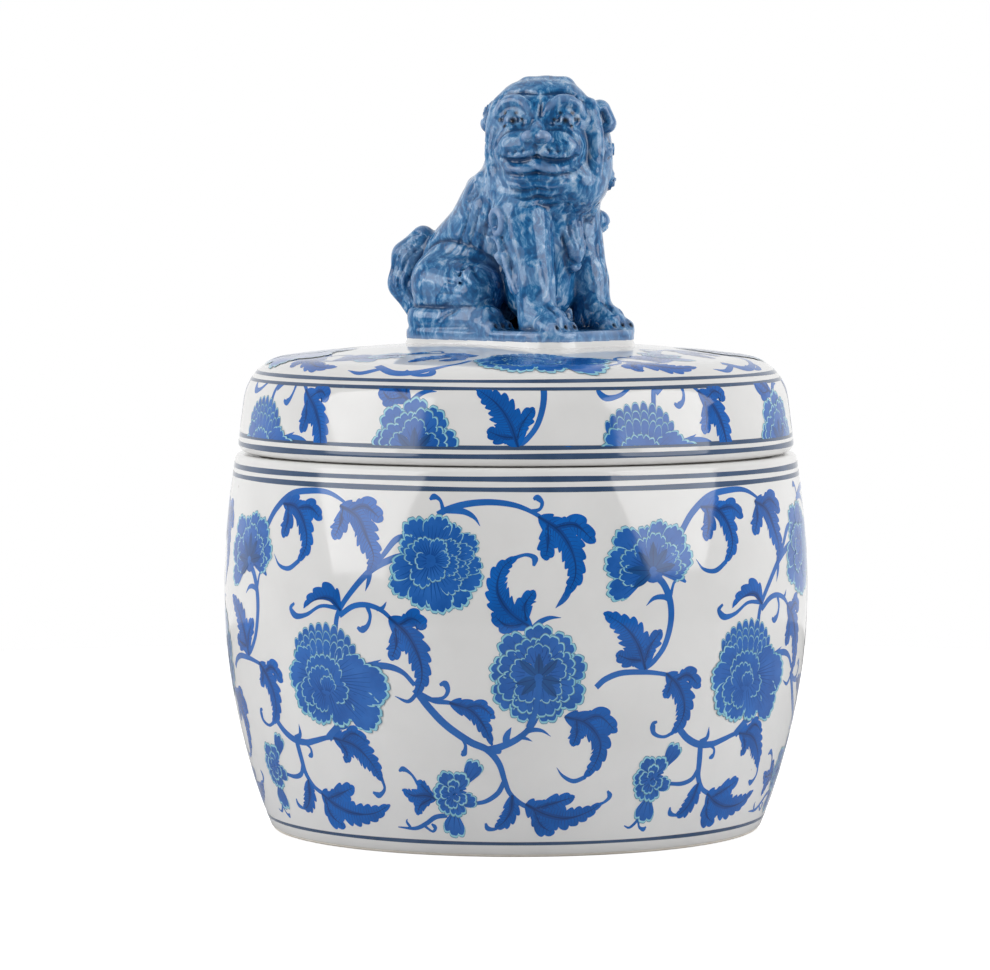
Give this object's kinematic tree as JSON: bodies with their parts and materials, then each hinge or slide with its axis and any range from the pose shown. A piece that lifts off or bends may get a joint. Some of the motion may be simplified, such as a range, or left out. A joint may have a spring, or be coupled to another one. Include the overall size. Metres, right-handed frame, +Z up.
{
  "type": "lidded jar",
  "caption": "Round white porcelain jar with blue scrolling peony print; the domed lid lifts off by a seated guardian lion finial in mottled blue glaze.",
  "frame": {"origin": "on the jar's axis, in the plane of the foot ring, where the jar stands on a table", "axes": "+Z up along the jar's axis, through the lid; the lion's face looks along -Y, its body points from -X +Y to +X -Y"},
  "size_m": [0.1524, 0.1524, 0.1959],
  "materials": {
    "white_glaze": "high gloss clear glaze on white porcelain",
    "unglazed_porcelain": "matt, bare fired body",
    "mottled_blue_glaze": "high gloss, mottled cobalt brushed on white"
  },
  "bodies": {
    "jar": {"jar_body": "white_glaze", "foot_ring": "unglazed_porcelain"},
    "lid": {"lid_cap": "white_glaze", "locating_ring": "unglazed_porcelain", "lion_plinth": "white_glaze", "lion_torso": "mottled_blue_glaze", "lion_right_hind_leg": "mottled_blue_glaze", "lion_left_hind_leg": "mottled_blue_glaze", "lion_right_foreleg": "mottled_blue_glaze", "lion_left_foreleg": "mottled_blue_glaze", "lion_tail": "mottled_blue_glaze", "lion_mane": "mottled_blue_glaze", "lion_head": "mottled_blue_glaze", "lion_ears": "mottled_blue_glaze", "ribbon_and_bell": "mottled_blue_glaze"}
  },
  "joints": [
    {"name": "lid_lift", "type": "slide", "parent": "jar", "child": "lid", "axis": [0, 0, 1], "range_m": [0, 0.09]}
  ]
}
